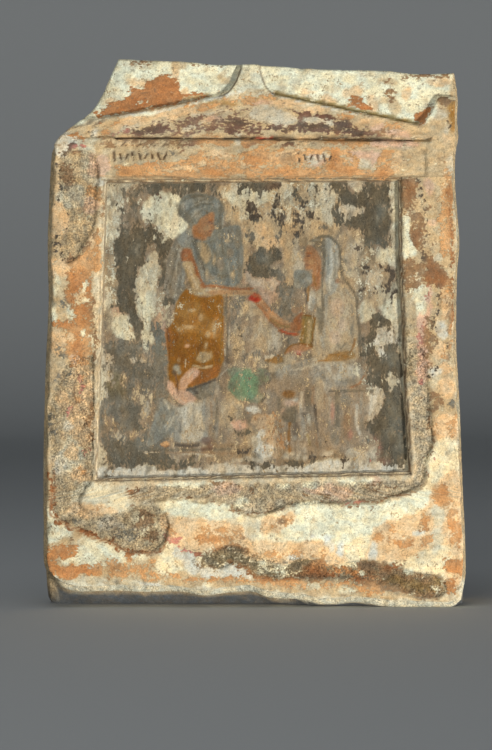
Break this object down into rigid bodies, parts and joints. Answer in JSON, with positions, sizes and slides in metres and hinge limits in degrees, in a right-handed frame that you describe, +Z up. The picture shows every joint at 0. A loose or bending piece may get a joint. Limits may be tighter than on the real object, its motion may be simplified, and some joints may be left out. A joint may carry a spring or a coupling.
{
  "type": "carved stone stele",
  "caption": "Upright limestone grave slab in the form of a small temple front, with a pediment, an architrave and a sunk picture panel; worn, spalled, one upper corner broken off.",
  "frame": {"origin": "middle of the underside's bounding box, on the plane the slab stands on", "axes": "+X is to the right of a viewer who faces the carving, +Y runs from the carved face to the back, +Z is up"},
  "size_m": [0.3483, 0.084, 0.45],
  "materials": {
    "limestone": "worn limestone, once painted, with broken and porous patches"
  },
  "bodies": {
    "root": {"stele": "limestone"}
  },
  "joints": []
}
